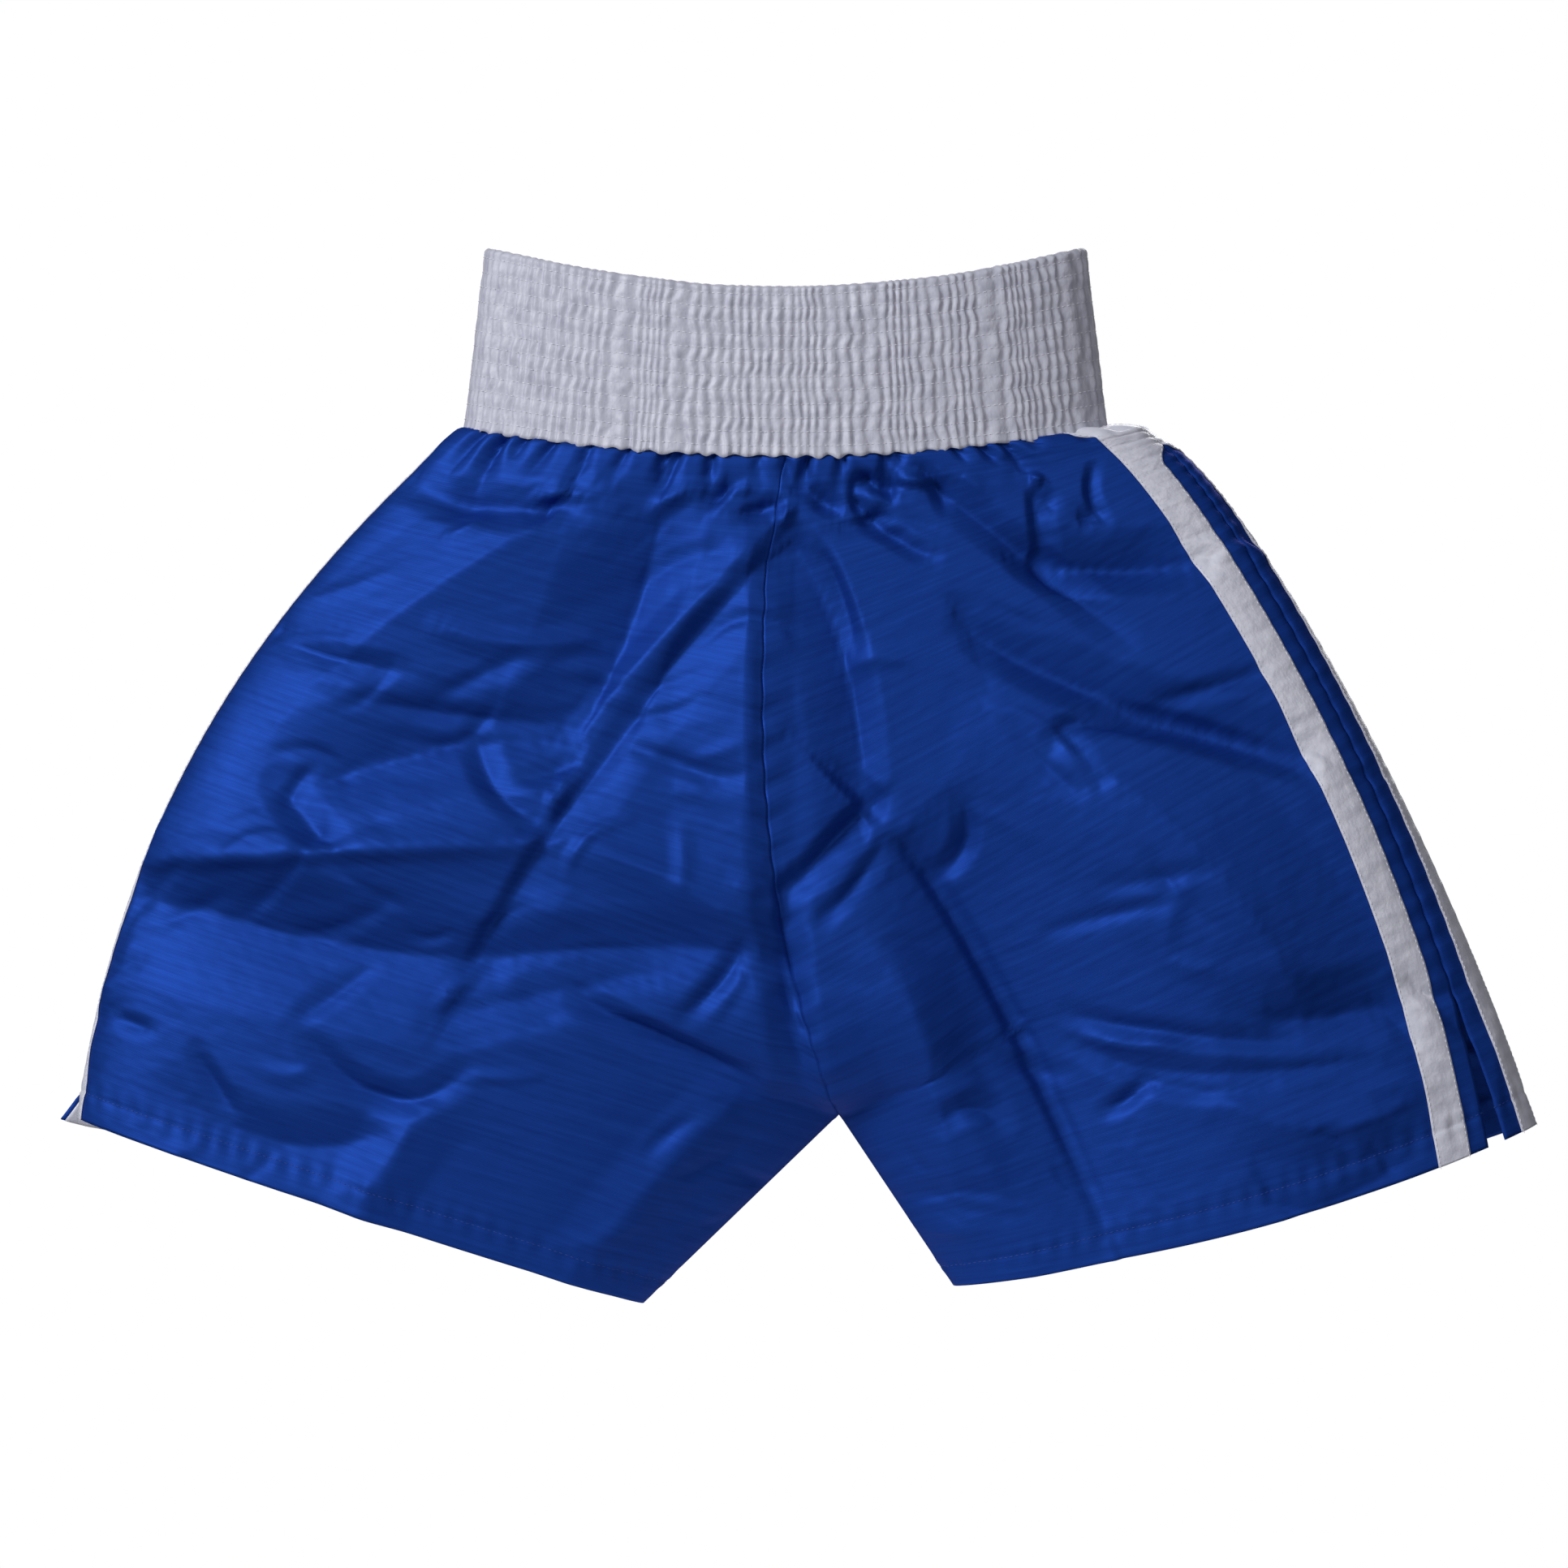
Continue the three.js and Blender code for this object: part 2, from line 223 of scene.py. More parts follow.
LOOP_STEPS = 480
EDGE_COLUMNS = [0, 4, 8, 12, 16, 20, 24, 28, 32]  # millimetres from the side seam
STRIPE_COLUMNS = (3, 8)
FACING_COLUMN = EDGE_COLUMNS.index(20)  # the far edge of a vent's facing
INNER_COLUMNS = 80


def stretch(*parts):
    """Levels in even steps through each part, which is its first and last level and its steps."""
    levels = [np.linspace(low, high, steps, endpoint=False) for low, high, steps in parts]
    return np.append(np.concatenate(levels), parts[-1][1])


LEVEL_PARTS = (
    (TUCK_TOP, 0, 2),
    (0, BULGE_END, 4),
    (BULGE_END, CROTCH, 72),
    (CROTCH, VENT_TOP, 16),
    (VENT_TOP, HEM_FOLD, 14),
    (HEM_FOLD, 1, 5),
)
LEVELS = stretch(*LEVEL_PARTS)
VENT_ROW = sum(steps for _, high, steps in LEVEL_PARTS if high <= VENT_TOP)


def panel_grid(side, face):
    """The rows and columns of one panel: its points, and their distances from the side seam."""
    angles = np.linspace(0, math.pi, LOOP_STEPS + 1)
    loops = cloth_point(side, LEVELS[:, None], angles[None])
    steps = np.linalg.norm(np.diff(loops, axis=1), axis=2)
    lengths = np.pad(np.cumsum(steps, axis=1), ((0, 0), (1, 0)))
    forward = lerp(side.seam_at_waist, side.seam_at_hem, np.clip(LEVELS, 0, 1) ** SEAM_SLANT)
    seam = lengths[:, LOOP_STEPS // 2] - forward
    half_open = VENT_SPREAD * vent_share(LEVELS) / 2
    width = seam - half_open if face == "front" else lengths[:, -1] - seam - half_open
    edge = np.array(EDGE_COLUMNS)[None] * MM
    gap = lerp(side.tape_gap, 1, smooth(LEVELS, TAPES_MEET, TAPES_APART))[:, None]
    lap = STRIPE_FROM_SEAM * (1 - gap) * (1 - (edge - STRIPE_FROM_SEAM) / STRIPE_WIDTH)
    edge = np.where(edge < STRIPE_FROM_SEAM, edge * gap, edge - lap)
    rest = np.arange(1, INNER_COLUMNS + 1)[None] / INNER_COLUMNS
    distance = np.concatenate((edge, lerp(edge[:, -1:], width[:, None], rest)), axis=1)
    along = width[:, None] - distance if face == "front" else (seam + half_open)[:, None] + distance
    angle = np.array([np.interp(a, row, angles) for a, row in zip(along, lengths)])
    points = cloth_point(side, LEVELS[:, None], angle)
    if face == "back":
        swing = side.flare * vent_share(LEVELS)[:, None] ** FLARE_CURL
        swing = swing * (1 - smooth(distance, 0, FLARE_REACH))
        points[..., 0] += side.sign * swing
        points[..., 2] += FLARE_LIFT * swing
    return points, distance


PANELS = [(side, face) for side in SIDES for face in ("front", "back")]


# ---- folds

# Folds pressed into the front, in millimetres from the waistband's middle: where each starts, passes
# and ends, how far it stands out or in, and how far it slopes to each side. The first side is on the
# reader's left of a fold that runs down, and below one that runs across.
BROAD_FOLDS = (
    ((-352, -268), (-242, -263), (-130, -259), 7, 26, 40),
    ((-362, -286), (-250, -314), (-150, -324), -12, 48, 36),
    ((-68, -80), (-88, -145), (-116, -208), -12, 48, 26),
    ((-90, -62), (-185, -118), (-258, -174), 8, 40, 50),
    ((-272, -232), (-190, -207), (-110, -204), -9, 30, 40),
    ((-20, -90), (-21, -190), (-22, -305), 7, 42, 26),
    ((-2, -88), (30, -150), (43, -238), -9, 28, 15),
    ((-122, -259), (-62, -280), (-26, -304), 6, 22, 20),
    ((-166, -323), (-88, -316), (-22, -319), -8, 24, 22),
    ((-188, -355), (-115, -339), (-68, -332), -5, 20, 15),
    ((60, -256), (112, -332), (176, -474), -20, 46, 95),
    ((100, -140), (165, -176), (280, -210), -9, 16, 24),
    ((148, -205), (222, -266), (284, -350), 11, 60, 55),
    ((258, -354), (295, -355), (332, -347), -8, 24, 28),
    ((-205, -62), (-160, -76), (-108, -74), -7, 14, 16),
    ((134, -104), (178, -109), (224, -105), -9, 16, 24),
    ((-1, -283), (2, -335), (10, -390), -8, 18, 15),
    ((-330, -400), (-270, -425), (-215, -415), -6, 26, 24),
    ((-240, -480), (-215, -430), (-190, -400), 6, 26, 24),
    ((-120, -500), (-70, -440), (-30, -400), 5, 26, 22),
    ((60, -330), (84, -400), (96, -470), 5, 26, 30),
    ((240, -400), (290, -415), (340, -400), 5, 20, 22),
)
SHARP_FOLDS = (
    ((-10, -105), (-93, -200), (-186, -352), -5, 7, 26),
    ((-12, -90), (-80, -165), (-114, -208), 4, 14, 8),
    ((-282, -146), (-246, -158), (-210, -165), -4, 14, 10),
    ((-352, -270), (-242, -264), (-130, -260), 3, 8, 16),
    ((-170, -201), (-157, -230), (-130, -249), -5, 11, 12),
    ((-150, -224), (-130, -220), (-111, -213), -3, 8, 8),
    ((-86, -206), (-64, -214), (-40, -223), -3, 8, 8),
    ((-230, -182), (-180, -190), (-118, -196), -3, 8, 9),
    ((-190, -140), (-150, -150), (-110, -148), 3, 10, 9),
    ((-23, -313), (-36, -334), (-54, -353), -5, 9, 10),
    ((-110, -344), (-66, -368), (-20, -389), -8, 13, 10),
    ((-277, -228), (-262, -246), (-240, -268), -5, 14, 14),
    ((-323, -375), (-315, -390), (-304, -405), -4, 9, 9),
    ((-370, -356), (-360, -359), (-350, -362), -3, 7, 7),
    ((-260, -367), (-220, -398), (-179, -387), -6, 12, 12),
    ((-188, -350), (-179, -338), (-168, -325), 3, 7, 7),
    ((76, -60), (130, -100), (184, -145), -6, 15, 13),
    ((136, -66), (138, -88), (142, -108), -4, 6, 12),
    ((145, -204), (190, -191), (286, -220), -5, 12, 9),
    ((206, -182), (232, -175), (260, -166), -3, 8, 8),
    ((43, -78), (60, -92), (79, -102), -5, 9, 9),
    ((18, -100), (27, -122), (36, -150), -4, 6, 9),
    ((2, -283), (26, -259), (50, -235), -7, 14, 9),
    ((18, -302), (36, -285), (54, -261), -4, 8, 8),
    ((98, -241), (97, -262), (83, -277), -5, 10, 9),
    ((62, -258), (112, -334), (176, -474), -3, 7, 9),
    ((155, -353), (205, -363), (275, -368), -4, 9, 9),
    ((160, -368), (218, -385), (318, -377), -4, 10, 10),
    ((180, -384), (222, -395), (265, -392), -3, 8, 8),
    ((177, -406), (187, -399), (197, -391), -5, 8, 8),
    ((84, -413), (103, -404), (119, -413), -4, 10, 10),
)
FOLD_STEP = 3 * MM  # between the places where a fold's course is worked out
FEWEST_STEPS = 8
FOLD_MARGIN = 1.2  # how much further than its slopes a fold is looked for
FOLD_ENDS = (0.06, 0.94)  # the shares of a half wave that its height starts and ends at
FOLD_TAPER = 0.6
FOLD_CREST = 1.2  # 1 is a straight slope to a sharp crest
BROAD_DEPTH = 1.4
SHARP_DEPTH = 1.4
CRUMPLE_FOLDS = 130
PUFF_FOLDS = 26  # the pockets among the gathers


def fold_height(places, fold):
    """How far one fold lifts each place of the front view, in metres."""
    start, through, end, height, below, above = fold
    start, through, end = (np.array(p, float) * MM for p in (start, through, end))
    pull = 2 * through - (start + end) / 2
    samples = FEWEST_STEPS + int(np.linalg.norm(end - start) / FOLD_STEP)
    share = np.linspace(0, 1, samples)[:, None]
    path = (1 - share) ** 2 * start + 2 * share * (1 - share) * pull + share**2 * end
    ways = np.gradient(path, axis=0)
    ways /= np.linalg.norm(ways, axis=1)[:, None]
    gaps = places[:, None] - path[None]
    nearest = np.argmin((gaps**2).sum(2), axis=1)
    way = ways[nearest]
    gap = gaps[np.arange(len(places)), nearest]
    beside = way[:, 1] * gap[:, 0] - way[:, 0] * gap[:, 1]
    past = (gap * way).sum(1)
    at_end = (nearest == 0) | (nearest == samples - 1)
    slope = np.where(beside > 0, below, above) * MM
    taper = np.sin(math.pi * lerp(*FOLD_ENDS, share[nearest, 0])) ** FOLD_TAPER
    distance = np.hypot(beside, np.where(at_end, past, 0)) / slope
    return height * MM * taper * np.clip(1 - distance, 0, 1) ** FOLD_CREST


def fold_heights(places, folds):
    """How far all of these folds together lift each place."""
    total = np.zeros(len(places))
    for fold in folds:
        corners = np.array(fold[:3], float) * MM
        reach = FOLD_MARGIN * max(fold[4:]) * MM
        near = (places > corners.min(0) - reach) & (places < corners.max(0) + reach)
        chosen = np.nonzero(near.all(1))[0]
        if len(chosen):
            total[chosen] += fold_height(places[chosen], fold)
    return total


CREASE_LEAN = 0.35  # radians, up towards the middle of the shorts
CREASE_SCATTER = 0.55
CREASE_BEND = 0.18  # of half its length
CREASE_SLOPES = (4, 11)  # millimetres


def crumple_folds(random, count, low, high, longest, deepest):
    """Short creases scattered over one face, mostly across it, as crumpled satin has."""
    folds = []
    for _ in range(count):
        x = random.uniform(low[0], high[0])
        z = random.uniform(low[1], high[1])
        turn = random.normal(0, CREASE_SCATTER) + (CREASE_LEAN if x < 0 else -CREASE_LEAN)
        half = random.uniform(0.25, 1) * longest
        bend = random.normal(0, CREASE_BEND) * half
        step = half * np.array((math.cos(turn), math.sin(turn)))
        aside = bend * np.array((-math.sin(turn), math.cos(turn)))
        middle = np.array((x, z))
        height = random.uniform(0.3, 1) * deepest * random.choice((-1, -1, 1))
        slopes = random.uniform(*CREASE_SLOPES, 2)
        folds.append((middle - step, middle + aside, middle + step, height, *slopes))
    return folds


BACK_SHIFT = 15  # millimetres, so that the two legs differ
BACK_SIZES = (0.5, 1.3)
# One half of the back's folds, mirrored for the other half before they are shifted and sized.
BACK_FOLDS = (
    ((30, -90), (90, -250), (190, -440), -9, 24, 24),
    ((70, -80), (150, -230), (260, -420), 7, 24, 24),
    ((40, -330), (160, -300), (300, -310), -8, 20, 20),
    ((30, -200), (120, -175), (220, -190), -6, 16, 18),
    ((60, -150), (130, -120), (210, -115), 5, 16, 14),
    ((120, -390), (200, -410), (310, -390), -5, 14, 14),
)


def back_folds(random):
    """The long folds that the back falls into: down each leg, and out from the seat to the hips."""
    folds = [
        (*(np.array(p) * (sign, 1) for p in fold[:3]), *fold[3:])
        for sign in (-1, 1) for fold in BACK_FOLDS
    ]
    shift = random.normal(0, BACK_SHIFT, (len(folds), 3, 2))
    sizes = random.uniform(*BACK_SIZES, len(folds))
    return [
        (*(p + s for p, s in zip(fold[:3], shifts)), fold[3] * size, *fold[4:])
        for fold, shifts, size in zip(folds, shift, sizes)
    ]


GATHERS = 44
GATHER_DRIFT = 0.36  # of their even spacing
GATHER_DEPTHS = (4.5, 10.0)  # millimetres
GATHER_LENGTHS = (16, 20, 26, 36, 55, 85)  # millimetres down from the waistband
GATHER_WIDTH = 4.0 * MM  # at the waistband,
GATHER_SPREAD = 0.2  # and this share of the way down wider
GATHER_LEAN = 0.03
PUFF_HEIGHT = 3.5 * MM
PUFF_LENGTH = 45 * MM


def gather_height(random, around, drop):
    """The gathers: pleats that start under the waistband, with the cloth puffed out between."""
    height = PUFF_HEIGHT * np.clip(1 - drop / PUFF_LENGTH, 0, 1) ** 1.5
    drift = random.uniform(-GATHER_DRIFT, GATHER_DRIFT, GATHERS)
    places = (np.arange(GATHERS) + drift) / GATHERS
    for place in places:
        deep = random.uniform(*GATHER_DEPTHS) * MM
        long = random.choice(GATHER_LENGTHS) * MM * random.uniform(0.8, 1.2)
        lean = random.uniform(-GATHER_LEAN, GATHER_LEAN)
        away = (around - place - lean * drop / long * 0.4 + 0.5) % 1 - 0.5
        away = np.abs(away) * BAND_LOOP
        wide = GATHER_WIDTH + GATHER_SPREAD * drop
        fade = np.clip(1 - drop / long, 0, 1) ** 1.2
        height = height - deep * fade * np.clip(1 - away / wide, 0, 1) ** 1.4
    return height * smooth(drop, 0.5 * MM, 6 * MM)


# ---- meshes

def grid_quads(rows, columns):
    corner = (np.arange(rows - 1)[:, None] * columns + np.arange(columns - 1)).reshape(-1)
    return np.stack((corner, corner + 1, corner + columns + 1, corner + columns), 1)


def grid_normals(points):
    """Unit normals of a grid of points, on the side that its rows and columns turn to."""
    down = np.gradient(points, axis=0)
    across = np.gradient(points, axis=1)
    normal = np.cross(across, down)
    return normal / np.maximum(np.linalg.norm(normal, axis=2, keepdims=True), 1e-12)


def halve_spacing(points, axis):
    """Adds a row or column midway between each two, on the smooth curve through its neighbours."""
    points = np.moveaxis(points, axis, 0)
    ends = np.concatenate((2 * points[:1] - points[1:2], points, 2 * points[-1:] - points[-2:-1]))
    middle = (9 * (ends[1:-2] + ends[2:-1]) - ends[:-3] - ends[3:]) / 16
    fine = np.empty((2 * len(points) - 1, *points.shape[1:]))
    fine[::2] = points
    fine[1::2] = middle
    return np.moveaxis(fine, 0, axis)


def refine(points):
    return halve_spacing(halve_spacing(points, 0), 1)


def put_in_scene(name, data):
    made = bpy.data.objects.new(name, data)
    bpy.context.scene.collection.objects.link(made)
    return made


def make_object(name, vertices, faces, material, uv=None):
    mesh = bpy.data.meshes.new(name)
    mesh.from_pydata(vertices.tolist(), [], faces.tolist())
    if uv is not None:
        layer = mesh.uv_layers.new(name="cloth")
        corners = np.empty(len(mesh.loops), np.int32)
        mesh.loops.foreach_get("vertex_index", corners)
        layer.uv.foreach_set("vector", uv[corners].astype(np.float32).reshape(-1))
    mesh.polygons.foreach_set("use_smooth", np.ones(len(mesh.polygons), bool))
    mesh.materials.append(material)
    mesh.validate()
    return put_in_scene(name, mesh)


def closed_sheet(name, outer, inner, uv, material):
    """A sheet of cloth between the grids of its outer and inner faces, with all four edges closed."""
    rows, columns = outer.shape[:2]
    count = rows * columns
    faces = grid_quads(rows, columns)
    back = (faces + count)[:, ::-1]
    index = np.arange(count).reshape(rows, columns)
    rim = np.concatenate((index[0], index[1:, -1], index[-1, -2::-1], index[-2:0:-1, 0]))
    onward = np.roll(rim, -1)
    edge = np.stack((onward, rim, rim + count, onward + count), 1)
    faces = np.concatenate((faces, back, edge))
    middle = rows // 2, columns // 2
    if grid_normals(outer)[middle] @ (outer - inner)[middle] < 0:
        faces = faces[:, ::-1]
    vertices = np.reshape((outer, inner), (-1, 3))
    return make_object(name, vertices, faces, material, np.tile(uv.reshape(-1, 2), (2, 1)))


WELD_WITHIN = 0.01 * MM
CELL_SHIFT = 0.37  # keeps the seams' points, many of them at 0, off the borders between cells


def weld(grids):
    """One mesh of the four panels joined along their seams, and where each panel's points are."""
    points = np.reshape(grids, (-1, 3))
    keys = np.floor(points / WELD_WITHIN + CELL_SHIFT).astype(np.int64)
    _, first, index = np.unique(keys, axis=0, return_index=True, return_inverse=True)
    return points[first], index.reshape(np.shape(grids)[:3])


def outward_quads(points, place, face):
    """The quads of one panel in the joined mesh, turned to face away from the wearer."""
    quads = place.reshape(-1)[grid_quads(*place.shape)]
    middle = place.shape[0] // 3, place.shape[1] // 2
    turns_back = grid_normals(points[place])[middle][1] > 0
    return quads[:, ::-1] if turns_back == (face == "front") else quads


def vertex_normals(points, quads):
    a, b, c, d = (points[quads[:, i]] for i in range(4))
    across = np.cross(c - a, d - b)
    normal = np.zeros_like(points)
    for i in range(4):
        np.add.at(normal, quads[:, i], across)
    return normal / np.maximum(np.linalg.norm(normal, axis=1, keepdims=True), 1e-15)


def lengths_along(path):
    """How far along a line of points each one is."""
    return np.append(0, np.cumsum(np.linalg.norm(np.diff(path, axis=0), axis=1)))


def share_round_band(points):
    """How far round the waist each point is, from 0 at the front middle to 1."""
    angles = np.linspace(0, 2 * math.pi, 721)
    lengths = lengths_along(band_point(angles, 0, 0))
    angle = np.arctan2(points[:, 0] / BAND_HALF_WIDTH_BOTTOM, -points[:, 1] / BAND_HALF_DEPTH_BOTTOM)
    return np.interp(angle % (2 * math.pi), angles, lengths / lengths[-1])


def facing_share(normal):
    """0 where the cloth turns edge on at the sides, and 1 where it faces the front or the back."""
    return smooth(np.abs(normal[:, 1]), 0.05, 0.5)


def press_folds(points, normal, level, front, back):
    """How far the folds lift points of the front and the back, dying out at the sides and waist."""
    height = np.zeros(len(points))
    for sign, folds in ((-1, front), (1, back)):
        here = np.nonzero(normal[:, 1] * sign > 0)[0]
        height[here] = fold_heights(points[here][:, [0, 2]], folds)
    drop = np.maximum(level, 0) * OUTSEAM_LENGTH
    return height * facing_share(normal) * smooth(drop, 2 * MM, 22 * MM)


# ---- the fall of the cloth

FALL_FRAMES = 20
FALL_LIMIT = 9 * MM  # the furthest that a point may move
# How firmly the cloth keeps its place, from 0 to 1: everywhere, and more at its sides and hems.
HOLD = 0.05
SIDE_HOLD = 0.75
HEM_HOLD = 0.25
MOST_HOLD = 0.9
SEWN_DOWN = 0.004  # the level down to which the waistband holds it fast
SPARE_CUT = 0.12  # how much larger the cut is than the shape, at most
SPARE_LOST = 0.6  # the share of that which the legs don't have


def let_fall(points, quads, level, face_on):
    """A short cloth simulation: the cut is larger than its shape, so it buckles into soft folds."""
    mesh = bpy.data.meshes.new("falling_satin")
    mesh.from_pydata(points.tolist(), [], quads.tolist())
    cloth = put_in_scene("falling_satin", mesh)
    held = cloth.vertex_groups.new(name="held")
    spare = cloth.vertex_groups.new(name="spare")
    hold = HOLD + SIDE_HOLD * (1 - face_on) + smooth(level, 0.97, 1.0) * HEM_HOLD
    hold = np.where(level <= SEWN_DOWN, 1.0, np.clip(hold, 0, MOST_HOLD))
    slack = 1 - SPARE_LOST * smooth(level, 0.05, 0.5)
    for index in range(len(points)):
        held.add([index], float(hold[index]), "REPLACE")
        spare.add([index], float(slack[index]), "REPLACE")
    fall = cloth.modifiers.new("fall", "CLOTH")
    settings = fall.settings
    settings.quality = 6
    settings.mass = 0.12
    settings.air_damping = 2
    settings.tension_stiffness = settings.compression_stiffness = 12
    settings.shear_stiffness = 6
    settings.bending_stiffness = 0.25
    settings.tension_damping = settings.compression_damping = settings.shear_damping = 8
    settings.bending_damping = 1
    settings.vertex_group_mass = "held"
    settings.pin_stiffness = 1.2
    settings.vertex_group_shrink = "spare"
    settings.shrink_min = 0
    settings.shrink_max = -SPARE_CUT
    settings.effector_weights.gravity = 0
    fall.collision_settings.use_collision = False
    fall.point_cache.frame_start = 1
    fall.point_cache.frame_end = FALL_FRAMES
    scene = bpy.context.scene
    for step in range(1, FALL_FRAMES + 1):
        scene.frame_set(step)
    fallen = cloth.evaluated_get(bpy.context.evaluated_depsgraph_get())
    moved = np.empty(len(points) * 3, np.float32)
    fallen.data.vertices.foreach_get("co", moved)
    scene.frame_set(1)
    bpy.data.objects.remove(cloth)
    bpy.data.meshes.remove(mesh)
    step = moved.reshape(-1, 3).astype(float) - points
    size = np.linalg.norm(step, axis=1, keepdims=True)
    return points + step * np.minimum(1, FALL_LIMIT / np.maximum(size, 1e-9))


# ---- materials

# Sockets by number, where several share a name: a Mix node's colours and a Map Range's numbers.
MIX_LOW, MIX_HIGH, MIX_RESULT = 6, 7, 2
RANGE_LOW, RANGE_HIGH = 3, 4


def srgb(code):
    """A colour given as its sRGB hex code, made linear."""
    levels = [int(code[i:i + 2], 16) / 255 for i in (0, 2, 4)]
    return (*[v / 12.92 if v <= 0.04045 else ((v + 0.055) / 1.055) ** 2.4 for v in levels], 1)


def add(tree, kind, inputs=None, **settings):
    """Adds a node with its settings, and sets or links its inputs by name or number."""
    made = tree.nodes.new(kind)
    for name, value in settings.items():
        setattr(made, name, value)
    for name, value in (inputs or {}).items():
        if isinstance(value, bpy.types.NodeSocket):
            tree.links.new(value, made.inputs[name])
        else:
            made.inputs[name].default_value = value
    return made


def new_material(name):
    material = bpy.data.materials.new(name)
    material.use_nodes = True
    material.node_tree.nodes.clear()
    return material, material.node_tree


def new_cloth_material(name):
    """A material with its node tree and the cloth's own map, in metres across and down."""
    material, tree = new_material(name)
    return material, tree, add(tree, "ShaderNodeUVMap", uv_map="cloth").outputs["UV"]


def finish_material(tree, inputs):
    shader = add(tree, "ShaderNodeBsdfPrincipled", inputs)
    add(tree, "ShaderNodeOutputMaterial", {"Surface": shader.outputs["BSDF"]})


def pattern(tree, place, scale, noise_type="FBM", **inputs):
    """A soft noise on the cloth, with its scale in waves a metre across and down."""
    stretched = add(tree, "ShaderNodeMapping", {"Vector": place, "Scale": scale})
    values = {"Vector": stretched.outputs["Vector"], "Scale": 1.0, **inputs}
    return add(tree, "ShaderNodeTexNoise", values, noise_type=noise_type).outputs["Fac"]


def bump(tree, height, depth, under=None):
    inputs = {"Height": height, "Distance": depth, "Strength": 1.0}
    if under is not None:
        inputs["Normal"] = under
    return add(tree, "ShaderNodeBump", inputs).outputs["Normal"]


def blend_colours(tree, share, low, high):
    inputs = {"Factor": share, MIX_LOW: low, MIX_HIGH: high}
    return add(tree, "ShaderNodeMix", inputs, data_type="RGBA").outputs[MIX_RESULT]


def blue_satin():
    # Polyester satin dyed royal blue. Its long floats give a broad soft gloss of their own blue,
    # thicker weft yarns show as fine streaks across, and handling leaves small sharp creases.
    material, tree, cloth = new_cloth_material("woven_polyester_satin_royal_blue")
    streaks = pattern(tree, cloth, (22, 620, 1), Detail=2.0)
    # A satin's weave is about 0.2 mm, too fine to show, so its ribs are drawn 0.9 mm apart.
    weave = add(tree, "ShaderNodeTexWave", {"Vector": cloth, "Scale": 349.0, "Distortion": 1.5},
                wave_type="BANDS", bands_direction="Y")
    creases = pattern(tree, cloth, (34, 46, 1), Detail=3.0, Roughness=0.45,
                      noise_type="RIDGED_MULTIFRACTAL")
    swell = pattern(tree, cloth, (60, 95, 1), Detail=1.0)
    normal = bump(tree, creases, 0.5 * MM)
    normal = bump(tree, swell, 0.6 * MM, normal)
    normal = bump(tree, streaks, 0.06 * MM, normal)
    normal = bump(tree, weave.outputs["Fac"], 0.02 * MM, normal)
    shade = pattern(tree, cloth, (16, 300, 1), Detail=3.0)
    gloss = add(tree, "ShaderNodeMapRange", {"Value": streaks, RANGE_LOW: 0.54, RANGE_HIGH: 0.66})
    finish_material(tree, {
        "Base Color": blend_colours(tree, shade, srgb("102d78"), srgb("1a4299")),
        "Roughness": gloss.outputs[0],
        "Metallic": 0.5,
        "Specular IOR Level": 0.3,
        "Specular Tint": srgb("6f9bff"),
        "Normal": normal,
    })
    return material


def pale_satin(name, mottle_and_shade, yarns, crumple, yarn_depth, crumple_depth, low, high, finish):
    """Satin in a pale colour, with its mottle of tone and painted shade, its yarns and crumples at
    their scales.
    """
    material, tree, cloth = new_cloth_material(name)
    # The mottle blends the low and high colours: random tone, and on the silver, painted shade.
    shade = pattern(tree, cloth, mottle_and_shade, Detail=3.0)
    normal = bump(tree, pattern(tree, cloth, crumple, Detail=2.0), crumple_depth)
    normal = bump(tree, pattern(tree, cloth, yarns, Detail=2.0), yarn_depth, normal)
    finish_material(tree, {
        "Base Color": blend_colours(tree, shade, srgb(low), srgb(high)),
        "Sheen Roughness": 0.4,
        "Normal": normal,
        **finish,
    })
    return material


def silver_satin():
    # The same satin woven in pale grey and shirred over elastic: a soft gloss on its crests, and a
    # fine grey mottle of painted shade, standing in for the shade where the gathered cloth lies
    # uneven.
    return pale_satin(
        "shirred_polyester_satin_silver",
        mottle_and_shade=(210, 90, 1), yarns=(900, 60, 1), crumple=(260, 190, 1),
        yarn_depth=0.08 * MM, crumple_depth=0.5 * MM, low="85869a", high="cbccda",
        finish={"Roughness": 0.5, "Specular IOR Level": 0.4, "Sheen Weight": 0.2},
    )


def white_tape():
    # Satin tape woven in white: smoother and glossier than the waistband, with a soft grey mottle.
    return pale_satin(
        "woven_satin_tape_white",
        mottle_and_shade=(120, 110, 1), yarns=(700, 90, 1), crumple=(200, 160, 1),
        yarn_depth=0.06 * MM, crumple_depth=0.45 * MM, low="a4a6b8", high="d9dae6",
        finish={"Roughness": 0.36, "Specular IOR Level": 0.6, "Sheen Weight": 0.15},
    )


def knitted_elastic():
    # Knitted elastic, rubber cores wrapped in off-white polyester: dull, with close upright ribs.
    material, tree, cloth = new_cloth_material("knitted_elastic_off_white")
    loops = add(tree, "ShaderNodeTexWave", {"Vector": cloth, "Scale": 160.0, "Distortion": 1.0},
                wave_type="BANDS", bands_direction="X")
    fuzz = pattern(tree, cloth, (900, 900, 1), Detail=2.0)
    normal = bump(tree, loops.outputs["Fac"], 0.25 * MM)
    finish_material(tree, {
        "Base Color": blend_colours(tree, fuzz, srgb("d5d2ca"), srgb("efece5")),
        "Roughness": 0.9,
        "Normal": normal,
    })
    return material


